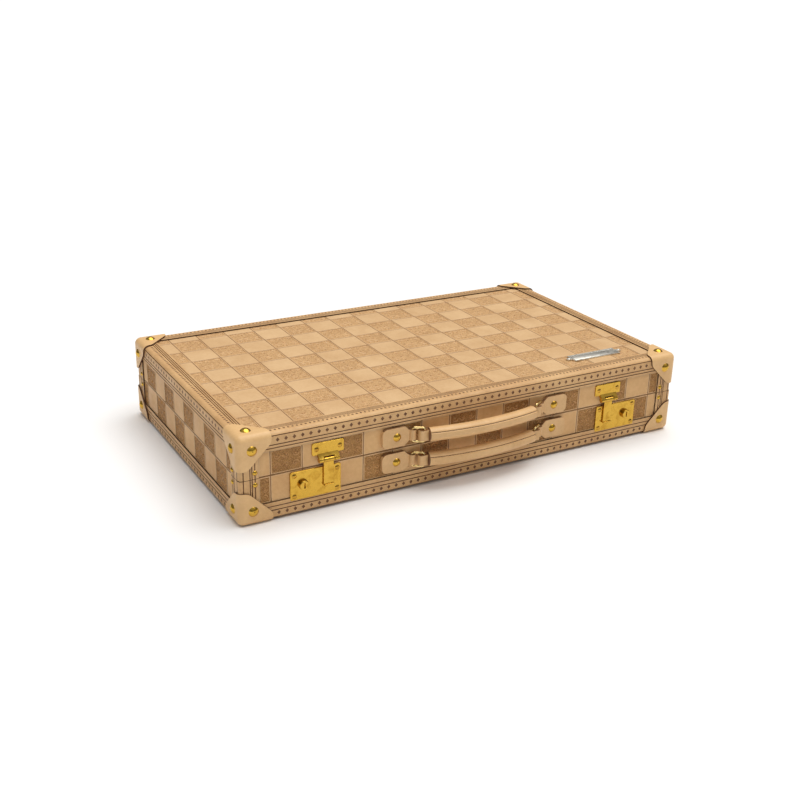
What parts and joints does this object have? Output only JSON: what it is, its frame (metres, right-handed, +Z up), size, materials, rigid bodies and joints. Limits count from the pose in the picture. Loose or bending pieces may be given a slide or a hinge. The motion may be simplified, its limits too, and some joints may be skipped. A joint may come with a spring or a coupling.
{
  "type": "poker chip case",
  "caption": "Leather-covered hinged case that holds poker chips, cards and dice in a lined tray, with key locks, hasps and a carrying handle on each half.",
  "frame": {"origin": "under the middle of the whole object's box, on the level of the undersides of the bottom corner caps", "axes": "+Z up, +X to the right along the length, front with locks and handles facing -Y"},
  "size_m": [0.424, 0.2694, 0.076],
  "materials": {
    "tooled_leather": "vegetable-tanned calf, tooled in squares, satin",
    "binding_leather": "tooled border leather, satin",
    "cap_leather": "plain natural leather, smooth",
    "handle_leather": "plain natural leather, stitched",
    "wood": "plain planed beech",
    "lining": "brushed suede cloth",
    "tray_cloth": "brushed suede cloth over wood",
    "pad_cloth": "padded suede cloth",
    "brass": "polished",
    "inner_steel": "brushed",
    "nameplate_metal": "satin nickel"
  },
  "bodies": {
    "base": {"lock_plate_right": "brass", "lock_plate_left": "brass", "lock_screws_right": "brass", "lock_screws_left": "brass", "lock_case_right": "inner_steel", "lock_case_left": "inner_steel", "chapes_lower": "handle_leather", "chape_rivets_lower": "brass", "hinge_screws_base": "brass", "hinge_leaves_base": "brass", "hinge_pins": "brass", "stay_rail_right": "brass", "stay_rail_left": "brass", "base_shell": "wood", "base_cover": "tooled_leather", "base_binding": "binding_leather", "base_corner_caps": "cap_leather", "base_cap_nails": "brass", "base_edge_nails": "brass", "base_lining": "lining", "chip_tray": "tray_cloth"},
    "lid": {"hasp_plate_right": "brass", "hasp_plate_left": "brass", "hasp_screws_right": "brass", "hasp_screws_left": "brass", "hasp_pin_right": "brass", "hasp_pin_left": "brass", "chapes_upper": "handle_leather", "chape_rivets_upper": "brass", "hinge_screws_lid": "brass", "hinge_leaves_lid": "brass", "stay_bracket_right": "brass", "stay_bracket_left": "brass", "nameplate_pins": "nameplate_metal", "nameplate": "nameplate_metal", "lid_shell": "wood", "lid_cover": "tooled_leather", "lid_binding": "binding_leather", "lid_corner_caps": "cap_leather", "lid_cap_nails": "brass", "lid_edge_nails": "brass", "lid_lining": "lining", "lid_pad": "pad_cloth"},
    "hasp_left": {"hasp_left": "brass"},
    "barrel_left": {"lock_barrel_left": "brass"},
    "bolt_left": {"lock_bolt_left": "inner_steel"},
    "stay_arm_left": {"stay_arm_left": "brass"},
    "hasp_right": {"hasp_right": "brass"},
    "barrel_right": {"lock_barrel_right": "brass"},
    "bolt_right": {"lock_bolt_right": "inner_steel"},
    "stay_arm_right": {"stay_arm_right": "brass"},
    "handle_upper": {"handle_grip_upper": "handle_leather", "handle_straps_upper": "handle_leather"},
    "ring_upper_left": {"ring_upper_left": "brass"},
    "ring_upper_right": {"ring_upper_right": "brass"},
    "handle_lower": {"handle_grip_lower": "handle_leather", "handle_straps_lower": "handle_leather"},
    "ring_lower_left": {"ring_lower_left": "brass"},
    "ring_lower_right": {"ring_lower_right": "brass"}
  },
  "joints": [
    {"name": "lid_hinge", "type": "hinge", "parent": "base", "child": "lid", "pos_m": [0, 0.1322, 0.038], "axis": [-1, 0, 0], "range_deg": [0, 95]},
    {"name": "stay_arm_pivot_left", "type": "hinge", "parent": "lid", "child": "stay_arm_left", "pos_m": [-0.1945, 0.08399, 0.02475], "axis": [-1, 0, 0], "range_deg": [-190.5, 0.5]},
    {"name": "stay_arm_pivot_right", "type": "hinge", "parent": "lid", "child": "stay_arm_right", "pos_m": [0.1945, 0.08399, 0.02475], "axis": [-1, 0, 0], "range_deg": [-190.5, 0.5]},
    {"name": "hasp_swing_left", "type": "hinge", "parent": "lid", "child": "hasp_left", "pos_m": [-0.1356, -0.1178, 0.043], "axis": [-1, 0, 0], "range_deg": [0, 150]},
    {"name": "key_turn_left", "type": "hinge", "parent": "base", "child": "barrel_left", "pos_m": [-0.1565, -0.1148, 0.0253], "axis": [0, 1, 0], "range_deg": [0, 90]},
    {"name": "bolt_slide_left", "type": "slide", "parent": "base", "child": "bolt_left", "axis": [1, 0, 0], "range_m": [0, 0.00553]},
    {"name": "hasp_swing_right", "type": "hinge", "parent": "lid", "child": "hasp_right", "pos_m": [0.1356, -0.1178, 0.043], "axis": [-1, 0, 0], "range_deg": [0, 150]},
    {"name": "key_turn_right", "type": "hinge", "parent": "base", "child": "barrel_right", "pos_m": [0.1565, -0.1148, 0.0253], "axis": [0, -1, 0], "range_deg": [0, 90]},
    {"name": "bolt_slide_right", "type": "slide", "parent": "base", "child": "bolt_right", "axis": [-1, 0, 0], "range_m": [0, 0.00553]},
    {"name": "handle_pull_upper", "type": "slide", "parent": "lid", "child": "handle_upper", "axis": [0, -1, 0], "range_m": [-0.002, 0.003]},
    {"name": "ring_swing_upper_left", "type": "hinge", "parent": "lid", "child": "ring_upper_left", "pos_m": [-0.062, -0.1177, 0.0488], "axis": [0, 0, -1], "range_deg": [-14.03, 20.99]},
    {"name": "ring_swing_upper_right", "type": "hinge", "parent": "lid", "child": "ring_upper_right", "pos_m": [0.062, -0.1177, 0.0488], "axis": [0, 0, 1], "range_deg": [-14.03, 20.99]},
    {"name": "handle_pull_lower", "type": "slide", "parent": "base", "child": "handle_lower", "axis": [0, -1, 0], "range_m": [-0.002, 0.003]},
    {"name": "ring_swing_lower_left", "type": "hinge", "parent": "base", "child": "ring_lower_left", "pos_m": [-0.062, -0.1177, 0.0272], "axis": [0, 0, -1], "range_deg": [-14.03, 20.99]},
    {"name": "ring_swing_lower_right", "type": "hinge", "parent": "base", "child": "ring_lower_right", "pos_m": [0.062, -0.1177, 0.0272], "axis": [0, 0, 1], "range_deg": [-14.03, 20.99]}
  ],
  "couplings": [
    {"joint": "stay_arm_pivot_left", "follows": "lid_hinge", "ratio": -2},
    {"joint": "stay_arm_pivot_right", "follows": "lid_hinge", "ratio": -2},
    {"joint": "bolt_slide_left", "follows": "key_turn_left", "m_per_rad": 0.0035112},
    {"joint": "bolt_slide_right", "follows": "key_turn_right", "m_per_rad": 0.0035112},
    {"joint": "ring_swing_upper_left", "follows": "handle_pull_upper", "rad_per_m": 121.55},
    {"joint": "ring_swing_upper_right", "follows": "handle_pull_upper", "rad_per_m": 121.55},
    {"joint": "ring_swing_lower_left", "follows": "handle_pull_lower", "rad_per_m": 121.55},
    {"joint": "ring_swing_lower_right", "follows": "handle_pull_lower", "rad_per_m": 121.55}
  ]
}
